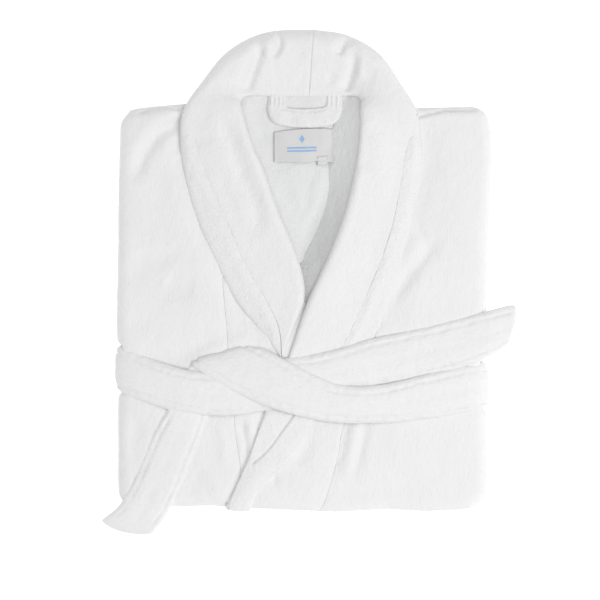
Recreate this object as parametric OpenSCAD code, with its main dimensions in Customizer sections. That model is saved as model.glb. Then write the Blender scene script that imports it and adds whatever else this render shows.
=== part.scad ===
// A shawl-collar bathrobe, folded flat with its belt wrapped round it and half knotted.
// Left is -X and right is +X for someone looking down at the fold. The collar points to +Y.
// The folded body lies on z = 0, centred on the origin.

/* [Folded body] */
// Distance of the left side fold from the centre line
side_left = 194; // [188:1:200]
// Distance of the right side fold from the centre line
side_right = 195; // [190:1:200]
// Distance of the shoulder line from the centre
shoulder_y = 212; // [208:1:216]
// Distance of the lower fold from the centre
lower_y = 212; // [208:1:216]
// How far the faces of a folded layer pull in at its rounded edge
edge_inset = 7; // [4:0.5:8]

/* [Layers, from the floor up] */
// Thickness of each of the two skirt layers
skirt_t = 18; // [16:0.5:20]
// Thickness of the sleeves folded behind the back
sleeve_t = 7; // [6:0.5:8]
// Thickness of the back panel
back_t = 6; // [5:0.5:7]
// Thickness of the front panels over the back panel
front_t = 13; // [12:0.5:15]
// Thickness of the front panels where they wrap round the sides
wrap_t = 8; // [6:0.5:9]
// Thickness of the part of the left front that the right front covers
under_t = 5; // [4:0.5:6]

/* [Collar] */
// Thickness of the collar at its roll
roll_t = 15; // [13:0.5:17]
// Thickness of the lapels at their free edge
lapel_t = 9; // [8:0.5:10]
// Thickness of the collar behind the neck, where it is folded double
nape_t = 34; // [30:1:38]
// Width of the band sewn along the edge of each lapel
band_w = 23; // [20:1:26]
// Thickness of the band along the front edge, below the belt
band_t = 4; // [3:0.5:6]

/* [Belt] */
// Thickness of the belt, two layers of pile
belt_t = 6; // [5:0.5:6.5]
// Room left round the belt in what it presses into
belt_room = 0.3; // [0.2:0.05:0.5]

/* [Small pieces] */
// Thickness of a patch pocket and of its hem
pocket_t = 3; // [2.5:0.5:4]
// Width of a patch pocket
pocket_w = 150; // [130:5:155]
// Height of a patch pocket with its hem
pocket_l = 190; // [170:5:195]
// Height of a pocket's hem
pocket_hem_l = 35; // [30:1:40]
// Thickness of the hanger loop
hanger_t = 5; // [4:0.5:6]
// Width of the hanger loop's strap
hanger_w = 20; // [18:0.5:22]
// Width of the neck label
label_w = 65; // [50:1:70]
// Height of the neck label
label_l = 35; // [25:1:38]
// Thickness of the neck label
label_t = 0.8; // [0.6:0.1:1.2]

/* [Hidden] */

$fn = 32;
robe_colour = [0.91, 0.91, 0.9];
inside_colour = [0.86, 0.86, 0.86];
label_colour = [0.8, 0.81, 0.83];

// Heights of the layers' faces.
skirt_top = 2 * skirt_t;
sleeve_top = skirt_top + sleeve_t;
back_top = sleeve_top + back_t;
front_top = back_top + front_t;
turn_z = front_top + belt_t / 2 + 0.4;
left_strand_z = turn_z + belt_t + 0.4;
right_strand_z = left_strand_z + belt_t + 0.4;

// The folded body's corners, anticlockwise from the upper right one: centre, and radius of the round.
corners = [
    [side_right - 11, shoulder_y - 15, 15],
    [26 - side_left, shoulder_y - 22, 22],
    [12 - side_left, 16 - lower_y, 12],
    [side_right - 20, 16 - lower_y, 17]
];
corner_steps = 6;
bulge_y = 40;

// The lapels' inner edge, where the collar rolls over, from the crossing up to the neck.
left_roll = [[-20, -51], [-8, -20], [3, 13], [-4, 52], [-26, 105], [-39, 142], [-53, 174], [-63, 208]];
right_roll = [[-15, -53], [-9, -36], [6, 8], [30, 61], [46, 105], [57, 153], [61, 190], [61, 208]];
// Their free edge, over the same stretch.
left_edge = [[-24, -51], [-49, -18], [-70, 8], [-91, 48], [-109, 89], [-123, 134], [-127, 174], [-125, 204]];
right_edge = [[70, -53], [79, -31], [98, 19], [107, 48], [115, 87], [123, 124], [126, 155], [125, 196]];
// The collar behind the neck: neck seam and roll, out to the centre-back seam.
seam_x = 8;
left_nape = [[-62, 219], [-52, 222], [-28, 222], [seam_x, 222]];
left_crown = [[-94, 243], [-74, 268], [-42, 288], [seam_x, 293]];
right_nape = [[60, 219], [52, 222], [34, 222], [seam_x, 222]];
right_crown = [[102, 238], [85, 264], [54, 285], [seam_x, 293]];

// Seams in the fronts, and the front edge of the right front, from top to bottom.
left_seam = [[-86, 260], [-84, 45], [-78, -42], [-73, -112], [-67, -175], [-81, -210], [-93, -260]];
right_seam = [[90, 260], [84, 60], [75, -40], [44, -123], [24, -197], [10, -260]];
front_edge = [[5, 260], [4, 10], [-16, -52], [-39, -107], [-52, -141], [-64, -175], [-78, -210], [-90, -260]];
overlap_w = 68;
band_below = [[12, -118], [0, -131], [-17, -155], [-34, -177], [-48, -192], [-54, -208]];
band_tip = [[-56, -214], [-66, -216], [-74, -213]];

function flip(list) = [for (i = [len(list) - 1 : -1 : 0]) list[i]];
function unit(v) = v / norm(v);

// A smooth curve through the points p, in so many steps.
function curve_at(p, t) =
    let (n = len(p), i = min(floor(t), n - 2), u = t - i,
         a = p[max(i - 1, 0)], b = p[i], c = p[i + 1], d = p[min(i + 2, n - 1)])
    b + (c - a) * (u / 2) + (2 * a - 5 * b + 4 * c - d) * (u * u / 2)
    + (3 * b - a - 3 * c + d) * (u * u * u / 2);
function curve(p, steps) = [for (k = [0 : steps]) curve_at(p, k * (len(p) - 1) / steps)];

// A closed solid through rings of points that all have the same count.
module loft(rings) {
    n = len(rings[0]);
    last = len(rings) - 1;
    sides = [for (r = [0 : last - 1], k = [0 : n - 1])
        let (a = r * n + k, b = r * n + (k + 1) % n)
        each [[a, a + n, b + n], [a, b + n, b]]];
    first_cap = [for (k = [0 : n - 1]) k];
    last_cap = [for (k = [n - 1 : -1 : 0]) last * n + k];
    polyhedron([for (ring = rings) each ring], [each sides, first_cap, last_cap], convexity = 8);
}

// The section of a strap from edge point a to edge point b: rounded, with thickness ta and tb.
// up is the way its upper face looks.
function strap_ring(a, b, up, ta, tb) =
    let (w = unit(b - a), ca = min(ta * 0.32, 4), cb = min(tb * 0.32, 4))
    [a + w * ca - up * ta / 2, b - w * cb - up * tb / 2,
     b - up * (tb / 2 - cb), b + up * (tb / 2 - cb),
     b - w * cb + up * tb / 2, a + w * ca + up * ta / 2,
     a + up * (ta / 2 - ca), a - up * (ta / 2 - ca)];

// A strap between two edges, each a list of 3-D points of one length.
module strap(edge_a, edge_b, ta, tb) {
    n = len(edge_a);
    rings = [for (i = [0 : n - 1])
        let (j = max(i - 1, 0), k = min(i + 1, n - 1),
             along = edge_a[k] + edge_b[k] - edge_a[j] - edge_b[j],
             across = edge_b[i] - edge_a[i],
             up = unit(cross(along, across)),
             pa = is_list(ta) ? ta[i] : ta,
             pb = is_list(tb) ? tb[i] : tb)
        strap_ring(edge_a[i], edge_b[i], up, pa, pb)];
    loft(rings);
}

// The folded body's outline, pulled in by an even amount. Its left side bulges a little.
function corner_arc(i, inset) =
    [for (k = [0 : corner_steps])
        let (angle = 90 * (i + k / corner_steps), r = corners[i][2] - inset)
        [corners[i][0] + r * cos(angle), corners[i][1] + r * sin(angle)]];
function outline_points(inset) = [
    each corner_arc(0, inset), each corner_arc(1, inset), [inset - side_left, bulge_y],
    each corner_arc(2, inset), each corner_arc(3, inset)
];

module outline(inset = 0) {
    polygon(outline_points(inset));
}

// One folded layer with rounded edges, from z0 to z1.
module layer(z0, z1, inset = 0, edge = 5) {
    pull = edge_inset * 0.8;
    levels = [[z0, pull], [z0 + edge * 0.4, pull * 0.3], [z0 + edge, 0],
              [z1 - edge, 0], [z1 - edge * 0.4, pull * 0.3], [z1, pull]];
    loft([for (level = levels)
        [for (p = outline_points(inset + level[1])) [p[0], p[1], level[0]]]]);
}

// A block that fills the outline, pulled in, from z0 to z1.
module core(z0, z1, inset) {
    translate([0, 0, z0]) linear_extrude(z1 - z0) outline(inset);
}

// ---- the belt's course ----

belt_steps = 34;
side_x = side_left - 2.5;
side_xr = side_right - 3.5;
under_z = belt_t / 2 + 0.15;
left_top_edge = [
    [-150, -41, under_z], [-174, -40, under_z], [-182, -39.7, 4.8], [-189, -39.3, 11],
    [-side_x, -39, 24], [-side_x, -39, 44], [3 - side_x, -41, 58], [-177, -46, 66.5],
    [-152, -56, left_strand_z], [-117, -65, left_strand_z], [-76, -66, left_strand_z],
    [-44, -60, left_strand_z], [-16, -53, left_strand_z], [19, -47, left_strand_z],
    [77, -32, left_strand_z], [133, -19, left_strand_z]
];
left_low_edge = [
    [-150, -90, under_z], [-174, -89, under_z], [-182, -88.7, 4.8], [-189, -88.3, 11],
    [-side_x, -88, 24], [-side_x, -88, 44], [3 - side_x, -89, 58], [-177, -93, 66.5],
    [-152, -104, left_strand_z], [-117, -112, left_strand_z], [-76, -114, left_strand_z],
    [-44, -109, left_strand_z], [-10, -102, left_strand_z], [28, -95, left_strand_z],
    [88, -81, left_strand_z], [144.5, -69, left_strand_z]
];
right_top_edge = [
    [150, -55, under_z], [174, -56, under_z], [182, -56.3, 4.8], [189, -56.7, 11],
    [side_xr, -57, 24], [side_xr, -57, 44], [side_xr - 3, -58, 58], [174, -62, 66.5],
    [140, -70, 70], [87, -80, right_strand_z], [38, -79, right_strand_z], [-3, -62, right_strand_z],
    [-18, -56, right_strand_z], [-50, -43, right_strand_z]
];
right_low_edge = [
    [150, -104, under_z], [174, -105, under_z], [182, -105.3, 4.8], [189, -105.7, 11],
    [side_xr, -106, 24], [side_xr, -106, 44], [side_xr - 3, -107, 58], [174, -110, 66.5],
    [136, -116, 70], [78, -121, right_strand_z], [26, -119, right_strand_z],
    [-25, -107, right_strand_z], [-66, -91, right_strand_z], [-113, -65, right_strand_z]
];

module left_strand_shape(t) {
    strap(curve(left_top_edge, belt_steps), curve(left_low_edge, belt_steps), t, t);
}

module right_strand_shape(t) {
    strap(curve(right_low_edge, belt_steps), curve(right_top_edge, belt_steps), t, t);
}

module turn_shape(t) {
    a = [[-120, -59, turn_z], [-131, -83, turn_z], [-143, -108, turn_z], [-154, -129, turn_z]];
    b = [[-52, -45, turn_z], [-74, -76, turn_z], [-97, -112, turn_z], [-111, -152, turn_z]];
    strap(b, a, t, t);
}

// The plan strip that the belt takes up where it goes round the fold, and the space
// inside its course, seen from the lower edge.
round_strip = [[-260, -34.5], [260, -58], [260, -113], [-260, -90]];
side_gap = belt_t / 2 + 1;
inside_course = [
    [-side_x + side_gap, 20], [-170, belt_t + belt_room], [170, belt_t + belt_room],
    [side_xr - side_gap, 20], [side_xr - side_gap, 46], [169, 64], [-170, 64], [-side_x + side_gap, 46]
];

// The groove that the belt presses into the folded body.
module belt_groove() {
    intersection() {
        translate([0, 0, -1]) linear_extrude(front_top + 5) polygon(round_strip);
        difference() {
            translate([-300, -300, -2]) cube([600, 600, 200]);
            translate([0, 300, 0]) rotate([90, 0, 0]) linear_extrude(600) polygon(inside_course);
        }
    }
}

// The space over the lapels and the band that the crossing takes up.
over_strip = [[-54, -36], [-16, -45], [19, -40], [150, -8], [158, -66], [120, -112], [26, -123], [-54, -108]];
module crossing_space() {
    translate([0, 0, left_strand_z - belt_t / 2 - belt_room]) linear_extrude(60) polygon(over_strip);
}

module belt_back_run() {
    color(robe_colour) linear_extrude(belt_t)
        polygon([[-149.8, -41], [149.8, -55], [149.8, -104], [-149.8, -90]]);
}

module belt_left_strand() {
    color(robe_colour) left_strand_shape(belt_t);
}

module belt_right_strand() {
    color(robe_colour) right_strand_shape(belt_t);
}

module belt_turn() {
    color(robe_colour) turn_shape(belt_t);
}

// The end that lies up and to the right, past the right side fold.
module belt_upper_tail() {
    z = left_strand_z;
    a = [[134, -18.5, z], [165, -11, z], [194, -4, z - 1], [222, 3, z - 4]];
    b = [[145, -67.5, z], [168, -62.5, z], [192, -55, z - 1], [216, -40, z - 4]];
    color(robe_colour) strap(curve(a, 8), curve(b, 8), belt_t, belt_t);
}

// The end that lies down and to the left, over the lower fold.
module belt_lower_tail() {
    z = turn_z + 0.5;
    a = [[-155, -130, z], [-172, -169, z], [-190, -206, z], [-209, -224, z - 5]];
    b = [[-112, -154, z], [-121, -177, z], [-135, -206, z], [-160, -240, z - 5]];
    color(robe_colour) strap(curve(b, 8), curve(a, 8), belt_t, belt_t);
}

// ---- the folded skirt, sleeves and back ----

pocket_inner_x = 28;
pocket_top_y = -30;

// The right pocket's part from y0 to y1, or the left one's, between heights z0 and z1.
module pocket_plate(side, y0, y1, z0, z1) {
    x0 = side > 0 ? pocket_inner_x : -pocket_inner_x - pocket_w;
    translate([x0, y0, z0]) cube([pocket_w, y1 - y0, z1 - z0]);
}

module pocket_space(side) {
    pocket_plate(side, pocket_top_y, pocket_top_y + pocket_l, -1, pocket_t);
}

module pocket(side) {
    color(robe_colour)
        pocket_plate(side, pocket_top_y + pocket_hem_l, pocket_top_y + pocket_l, 0, pocket_t);
}

module pocket_hem(side) {
    color(robe_colour) pocket_plate(side, pocket_top_y, pocket_top_y + pocket_hem_l, 0, pocket_t);
}

module pocket_left() { pocket(-1); }
module pocket_right() { pocket(1); }
module pocket_hem_left() { pocket_hem(-1); }
module pocket_hem_right() { pocket_hem(1); }

module skirt_front_fold() {
    color(robe_colour) difference() {
        layer(0, skirt_t);
        for (side = [-1, 1]) pocket_space(side);
        belt_groove();
    }
}

hem_l = 45;
hem_top_y = hem_l + 10 - lower_y;

module above_y(y) {
    translate([-300, y, -10]) cube([600, 600, 200]);
}

module skirt_hem_fold() {
    color(robe_colour) difference() {
        intersection() {
            layer(skirt_t, skirt_top);
            above_y(hem_top_y);
        }
        belt_groove();
    }
}

module hem_band() {
    color(robe_colour) difference() {
        layer(skirt_t, skirt_top);
        above_y(hem_top_y);
    }
}

sleeve_x0 = 4;
sleeve_x1 = 176;
cuff_l = 85;
sleeve_y0 = cuff_l + 16 - lower_y;
sleeve_y1 = shoulder_y - 24;

module sleeve_plate(side, y0, y1) {
    x0 = side > 0 ? sleeve_x0 : -sleeve_x1;
    translate([x0, y0, skirt_top]) cube([sleeve_x1 - sleeve_x0, y1 - y0, sleeve_t]);
}

module sleeve(side) {
    color(robe_colour) sleeve_plate(side, sleeve_y0, sleeve_y1);
}

module cuff(side) {
    color(robe_colour) sleeve_plate(side, sleeve_y0 - cuff_l, sleeve_y0);
}

module sleeve_left() { sleeve(-1); }
module sleeve_right() { sleeve(1); }
module cuff_left() { cuff(-1); }
module cuff_right() { cuff(1); }

// A flattened belt loop beside each sleeve, at waist height.
loop_x0 = 177;
loop_size = [7, 60, 3];

module belt_loop(side) {
    x0 = side > 0 ? loop_x0 : -loop_x0 - loop_size[0];
    color(robe_colour) translate([x0, -180, skirt_top + 2]) cube(loop_size);
}

module belt_loop_left() { belt_loop(-1); }
module belt_loop_right() { belt_loop(1); }

module back_panel() {
    color(inside_colour) union() {
        core(sleeve_top, back_top, wrap_t);
        translate([-64, shoulder_y - 30, sleeve_top]) cube([126, 39, back_t]);
    }
}

// ---- the fronts ----

// The space in the neck: between the roll edges, down to the back panel.
module neck_opening() {
    outline_points = [
        each curve(left_roll, 16), [-64, 260], [62, 260], each flip(curve(right_roll, 16))
    ];
    translate([0, 0, sleeve_top - 1]) linear_extrude(60)
        polygon([for (p = outline_points) if (p[1] > 12) p]);
}

// Both fronts as one shell, wrapped round the sides of what they cover.
module front_shell() {
    difference() {
        layer(skirt_top, front_top, 0, 8);
        core(skirt_top - 1, back_top, wrap_t);
        translate([-64, shoulder_y - 30, sleeve_top - 1]) cube([126, 60, back_t + 1]);
        neck_opening();
        belt_groove();
    }
}

// The plan area left or right of a line that runs from top to bottom.
module beside(line, side) {
    linear_extrude(120) polygon([each line, [side * 400, -260], [side * 400, 260]]);
}

// The strip of the left front that runs on beneath the right front.
module hidden_overlap() {
    shifted = [for (p = front_edge) [p[0] + overlap_w, p[1]]];
    intersection() {
        translate([0, 0, back_top]) cube([400, 400, 2 * under_t], center = true);
        beside(front_edge, 1);
        beside(shifted, -1);
        translate([-300, -300, 0]) cube([600, 300, 200]);
    }
}

module front_left_side() {
    color(robe_colour) intersection() {
        front_shell();
        beside(left_seam, -1);
    }
}

module front_left_centre() {
    color(robe_colour) intersection() {
        front_shell();
        beside(left_seam, 1);
        union() {
            beside(front_edge, -1);
            hidden_overlap();
        }
    }
}

module front_right_side() {
    color(robe_colour) intersection() {
        front_shell();
        beside(right_seam, 1);
    }
}

module front_right_centre() {
    color(robe_colour) difference() {
        intersection() {
            front_shell();
            beside(right_seam, -1);
            beside(front_edge, 1);
        }
        hidden_overlap();
    }
}

// The band along the right front's edge, from under the belt to past the lower fold.
module front_band_right() {
    under_belt = [[-34, -100], [24, -104]];
    edge = [[-72, -200], [-63, -175], [-50, -141], [-38, -110]];
    color(robe_colour) translate([0, 0, front_top]) linear_extrude(band_t)
        polygon([each under_belt, each band_below, each band_tip, each edge]);
}

// ---- the collar ----

collar_steps = 44;
function heights(list, z) = [for (i = [0 : len(list) - 1]) [list[i][0], list[i][1], z[i]]];

// Middle height of the collar at each point of its roll and of its free edge,
// from the crossing, up the lapel and round to the centre-back seam.
roll_z = [66, 67, 69, 70, 71, 71, 71, 69, 62, 56, 54, 53];
edge_z = [66, 66, 66.5, 66.8, 66.8, 66.8, 66.5, 62, 57, 55, 54, 53];
roll_thickness = [6, 10, roll_t, roll_t, roll_t, roll_t, roll_t, roll_t + 1, 15, 11, 9, 9];
edge_thickness = [
    5, 6, lapel_t, lapel_t, lapel_t, lapel_t, lapel_t, lapel_t + 8, nape_t - 6, nape_t, nape_t, nape_t
];

function split_line(a, b, w) =
    [for (i = [0 : len(a) - 1]) b[i] + (a[i] - b[i]) * min(w / norm(b[i] - a[i]), 0.6)];

module collar_piece(roll, edge, ta, tb, side) {
    steps = collar_steps;
    a = curve(roll, steps);
    b = curve(edge, steps);
    wide_a = [for (v = curve([for (t = ta) [t, 0]], steps)) v[0]];
    wide_b = [for (v = curve([for (t = tb) [t, 0]], steps)) v[0]];
    if (side > 0) strap(a, b, wide_a, wide_b);
    else strap(b, a, wide_b, wide_a);
}

left_roll_line = heights([each left_roll, each left_nape], roll_z);
left_edge_line = heights([each left_edge, each left_crown], edge_z);
right_roll_line = heights([each right_roll, each right_nape], roll_z);
right_edge_line = heights([each right_edge, each right_crown], edge_z);

// The width of the edge band is taken off the collar up to the shoulder.
module band_region(edge, roll) {
    outer = curve(edge, 14);
    inner = curve(split_line(roll, edge, band_w), 14);
    pushed = [for (i = [0 : 14]) outer[i] + (outer[i] - inner[i]) * 0.6];
    translate([0, 0, 40]) linear_extrude(60) polygon([each pushed, each flip(inner)]);
}

module collar_left() {
    color(robe_colour) difference() {
        collar_piece(left_roll_line, left_edge_line, roll_thickness, edge_thickness, -1);
        band_region(left_edge, left_roll);
        crossing_space();
        right_collar_space();
        collar_cut();
        past_seam(1);
    }
}

module collar_band_left() {
    color(robe_colour) difference() {
        intersection() {
            collar_piece(left_roll_line, left_edge_line, roll_thickness, edge_thickness, -1);
            band_region(left_edge, left_roll);
        }
        crossing_space();
        right_collar_space();
        collar_cut();
    }
}

// The other half's side of the centre-back seam.
module past_seam(side) {
    translate([seam_x + (side > 0 ? 0 : -100), 150, 0]) cube([100, 200, 200]);
}

// The room that the right lapel takes where it crosses over the left one.
module right_collar_space() {
    points = [each curve(right_roll, 16), each flip(curve(right_edge, 16))];
    translate([0, 0, front_top - 1]) linear_extrude(60) polygon(points);
}

// What the collar rests on, taken off its underside.
module collar_cut() {
    core(0, front_top, 0);
    translate([-64, shoulder_y - 30, 0]) cube([126, 39, back_top]);
}

module collar_right() {
    color(robe_colour) difference() {
        collar_piece(right_roll_line, right_edge_line, roll_thickness, edge_thickness, 1);
        band_region(right_edge, right_roll);
        crossing_space();
        collar_cut();
        past_seam(-1);
    }
}

module collar_band_right() {
    color(robe_colour) difference() {
        intersection() {
            collar_piece(right_roll_line, right_edge_line, roll_thickness, edge_thickness, 1);
            band_region(right_edge, right_roll);
        }
        crossing_space();
        collar_cut();
    }
}

// ---- hanger loop and labels ----

hanger_x0 = -36;
hanger_x1 = 44;
hanger_end_w = 18;
hanger_y0 = 190;
hanger_y1 = 220;
hanger_z = back_top + 1.5;

module hanger_loop() {
    corner = 9;
    strap_y1 = hanger_y0 + hanger_w;
    gap_x0 = hanger_x0 + hanger_end_w;
    gap_x1 = hanger_x1 - hanger_end_w;
    color(robe_colour) translate([0, 0, hanger_z]) difference() {
        linear_extrude(hanger_t) union() {
            hull() {
                translate([hanger_x0 + corner, hanger_y0 + corner]) circle(r = corner);
                translate([hanger_x1 - corner, hanger_y0 + corner]) circle(r = corner);
                translate([hanger_x0, strap_y1]) square([hanger_x1 - hanger_x0, 1]);
            }
            translate([hanger_x0, strap_y1]) square([hanger_x1 - hanger_x0, hanger_y1 - strap_y1]);
        }
        translate([gap_x0, strap_y1, -1]) cube([gap_x1 - gap_x0, 40, hanger_t + 2]);
    }
}

label_centre = [2, 170];

module neck_label() {
    color(label_colour)
        translate([label_centre[0] - label_w / 2, label_centre[1] - label_l / 2, back_top])
            cube([label_w, label_l, label_t]);
}

module size_tab() {
    color(label_colour)
        translate([label_centre[0] + 12, label_centre[1] - label_l / 2 - 6, back_top])
            cube([11, 6, label_t]);
}

back_panel();
front_left_side();
front_left_centre();
front_right_side();
front_right_centre();
front_band_right();
collar_left();
collar_right();
collar_band_left();
collar_band_right();
hanger_loop();
neck_label();
size_tab();
sleeve_left();
sleeve_right();
cuff_left();
cuff_right();
skirt_front_fold();
skirt_hem_fold();
hem_band();
pocket_left();
pocket_right();
pocket_hem_left();
pocket_hem_right();
belt_loop_left();
belt_loop_right();
belt_back_run();
belt_left_strand();
belt_right_strand();
belt_turn();
belt_upper_tail();
belt_lower_tail();
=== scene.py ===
import math

import bpy
import numpy as np
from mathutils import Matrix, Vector


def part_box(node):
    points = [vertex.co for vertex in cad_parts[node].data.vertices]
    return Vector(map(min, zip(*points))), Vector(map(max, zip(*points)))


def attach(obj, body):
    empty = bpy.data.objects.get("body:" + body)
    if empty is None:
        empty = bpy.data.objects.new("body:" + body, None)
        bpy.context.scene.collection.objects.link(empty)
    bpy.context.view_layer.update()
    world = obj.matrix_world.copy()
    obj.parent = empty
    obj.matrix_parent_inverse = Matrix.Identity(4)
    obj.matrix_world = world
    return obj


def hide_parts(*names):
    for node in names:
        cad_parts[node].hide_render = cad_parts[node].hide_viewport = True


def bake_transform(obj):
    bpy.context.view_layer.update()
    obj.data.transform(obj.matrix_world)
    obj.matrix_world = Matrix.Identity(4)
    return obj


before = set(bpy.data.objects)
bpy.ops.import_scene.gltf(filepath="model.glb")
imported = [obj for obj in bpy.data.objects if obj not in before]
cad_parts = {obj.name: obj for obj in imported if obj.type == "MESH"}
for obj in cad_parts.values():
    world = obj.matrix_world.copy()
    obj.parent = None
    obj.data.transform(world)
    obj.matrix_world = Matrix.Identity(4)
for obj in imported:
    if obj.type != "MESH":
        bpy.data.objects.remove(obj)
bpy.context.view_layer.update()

# Lengths in this script are millimetres, in the frame of the CAD model, until make_mesh.
MM = 0.001


def node_box(node):
    low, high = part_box(node)
    return np.array(low) / MM, np.array(high) / MM


# ---- what the frame says ----

SKIRT_LOW, SKIRT_HIGH = node_box("skirt_front_fold")
SIDE_LEFT = -SKIRT_LOW[0]
SIDE_RIGHT = SKIRT_HIGH[0]
LOWER_Y = -SKIRT_LOW[1]
SHOULDER_Y = SKIRT_HIGH[1]
SKIRT_TOP = node_box("skirt_hem_fold")[1][2]
BACK_TOP = node_box("back_panel")[1][2]
FRONT_TOP = node_box("front_left_side")[1][2]
BELT_T = node_box("belt_back_run")[1][2]
# Heights of the belt's middle: where it turns under the knot, in the left strand and in the right one.
TZ = node_box("belt_turn")[1][2] - BELT_T / 2 - 0.4
LZ = TZ + BELT_T - 0.6
RZ = LZ + BELT_T - 0.6
CROWN_Y = node_box("collar_left")[1][1]

# ---- small tools ----


def smooth(x):
    x = np.clip(x, 0.0, 1.0)
    return x * x * (3 - 2 * x)


def mix(a, b, t):
    return a + (b - a) * t


def bell(distance, width):
    """From 1 at distance 0 down to nearly 0 at twice the width."""
    return np.exp(-((distance / width) ** 2))


def unit(v):
    return v / np.maximum(np.linalg.norm(v, axis=-1, keepdims=True), 1e-9)


def spline_at(points, t):
    """Catmull-Rom through the points, at parameters t from 0 to len(points) - 1."""
    p = np.asarray(points, float)
    if p.ndim == 1:
        p = p[:, None]
    last = len(p) - 1
    i = np.clip(np.floor(t).astype(int), 0, last - 1)
    u = (t - i)[:, None]
    a, b, c, d = p[np.maximum(i - 1, 0)], p[i], p[i + 1], p[np.minimum(i + 2, last)]
    return (b + (c - a) * (u / 2) + (2 * a - 5 * b + 4 * c - d) * (u * u / 2)
            + (3 * b - a - 3 * c + d) * (u ** 3 / 2))


def spline(points, count):
    return spline_at(points, np.linspace(0, len(points) - 1, count))


def lattice(i, seed):
    """A repeatable value from -1 to 1 for each whole-number cell."""
    h = (i[..., 0] * 374761393 + i[..., 1] * 668265263 + i[..., 2] * 1442695041 + seed * 1274126177)
    h = h & 0xFFFFFFFF
    h = ((h ^ (h >> 13)) * 1274126177) & 0xFFFFFFFF
    return ((h ^ (h >> 16)) & 0xFFFF) / 32767.5 - 1.0


def noise(p, size, seed=1):
    """Smooth noise of about -1 to 1 at points p, with features of that size in mm (one or three)."""
    q = np.asarray(p, float) / np.asarray(size, float)
    i = np.floor(q).astype(np.int64)
    f = q - i
    f = f * f * (3 - 2 * f)
    total = 0.0
    for corner in np.ndindex(2, 2, 2):
        c = np.array(corner)
        w = np.prod(np.where(c, f, 1 - f), axis=-1)
        total = total + w * lattice(i + c, seed)
    return total


def path_distance(x, y, points, count):
    """Distance from each (x, y) to a smooth path, and how far along the path it is, from 0 to 1."""
    line = spline(points, count)
    flat = np.stack([np.ravel(x), np.ravel(y)], -1)
    best = np.full(len(flat), 1e9)
    along = np.zeros(len(flat))
    for k in range(count - 1):
        a, b = line[k], line[k + 1]
        d = b - a
        t = np.clip(((flat - a) @ d) / max(d @ d, 1e-9), 0, 1)
        gap = np.hypot(*(flat - a - t[:, None] * d).T)
        near = gap < best
        best[near] = gap[near]
        along[near] = (k + t[near]) / (count - 1)
    return best.reshape(np.shape(x)), along.reshape(np.shape(x))


def stroke(x, y, points, width, height, fade=0.3):
    """A ridge (or a furrow, if height is below 0) along a path, fading out at both ends."""
    gap, along = path_distance(x, y, points, 40)
    ends = smooth(along / fade) * smooth((1 - along) / fade)
    return height * bell(gap, width) * ends


def add_strokes(height, x, y, strokes):
    for points, *values in strokes:
        height = height + stroke(x, y, points, *values)
    return height


def mound(x, y, cx, cy, rx, ry, height, turn=0.0):
    """A broad soft swelling (or dent) with radii rx and ry, turned by so many degrees."""
    c, s = math.cos(math.radians(turn)), math.sin(math.radians(turn))
    u = ((x - cx) * c + (y - cy) * s) / rx
    v = (-(x - cx) * s + (y - cy) * c) / ry
    return height * np.exp(-(u * u + v * v))


def at_y(points, y):
    """x on a line that runs down the robe, at heights y. The points are (x, y), in any order of y."""
    line = spline(points, 400)
    order = np.argsort(line[:, 1])
    line = line[order]
    return np.interp(y, line[:, 1], line[:, 0])


# ---- meshes ----


def make_mesh(name, points, faces, material, slot, body="robe", replaces=()):
    """A smooth piece from points in mm and faces of four corners, of which a triangle repeats its last."""
    mesh = bpy.data.meshes.new(name)
    points = np.array(points, float).reshape(-1, 3) * MM
    points[:, 2] = np.maximum(points[:, 2], 0)  # the lowest layer lies flat on the floor
    faces = np.asarray(faces, np.int64)
    triangle = faces[:, 3] == faces[:, 2]
    keep = np.ones(faces.shape, bool)
    keep[triangle, 3] = False
    corners = faces[keep]
    totals = np.where(triangle, 3, 4)
    mesh.vertices.add(len(points))
    mesh.vertices.foreach_set("co", points.astype(np.float32).ravel())
    mesh.loops.add(len(corners))
    mesh.loops.foreach_set("vertex_index", corners.astype(np.int32))
    mesh.polygons.add(len(faces))
    mesh.polygons.foreach_set("loop_start", (np.cumsum(totals) - totals).astype(np.int32))
    mesh.polygons.foreach_set("use_smooth", np.ones(len(faces), bool))
    mesh.update(calc_edges=True)
    mesh.validate()
    piece = bpy.data.objects.new(name, mesh)
    bpy.context.scene.collection.objects.link(piece)
    mesh.materials.append(material)
    if body:
        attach(piece, body)
    if replaces:
        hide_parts(*replaces)
    return piece


def ring_faces(stations, count):
    """Faces of a closed tube of rings, in which points k and count - k lie over each other."""
    r, k = np.meshgrid(np.arange(stations - 1), np.arange(count), indexing="ij")
    a = r * count + k
    b = r * count + (k + 1) % count
    side = np.stack([a, b, b + count, a + count], -1).reshape(-1, 4)
    half = count // 2
    k = np.arange(half)
    cap = np.stack([(count - k) % count, count - k - 1, k + 1, k], -1)
    cap[0] = [count - 1, 1, 0, 0]
    cap[-1] = [half + 1, half, half - 1, half - 1]
    last = cap[:, ::-1].copy()
    last[0] = [0, 1, count - 1, count - 1]
    last[-1] = [half - 1, half, half + 1, half + 1]
    return np.concatenate([side, cap, last + (stations - 1) * count])


def shell(top, low):
    """The closed skin of two grids of points that lie over each other, as (points, faces)."""
    rings = np.concatenate([top, low[:, -2:0:-1]], 1)
    return rings.reshape(-1, 3), ring_faces(*rings.shape[:2])


def across_stops(width, round_a, round_b, step):
    """Distances across a strap as shares of its width, close together at its edges."""
    angle = np.linspace(0, math.pi / 2, 6)
    a = round_a * (1 - np.cos(angle))
    b = width - round_b * (1 - np.cos(angle))[::-1]
    middle = max(int((b[0] - a[-1]) / step), 2)
    return np.concatenate([a[:-1], np.linspace(a[-1], b[0], middle + 1), b[1:]]) / width


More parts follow.
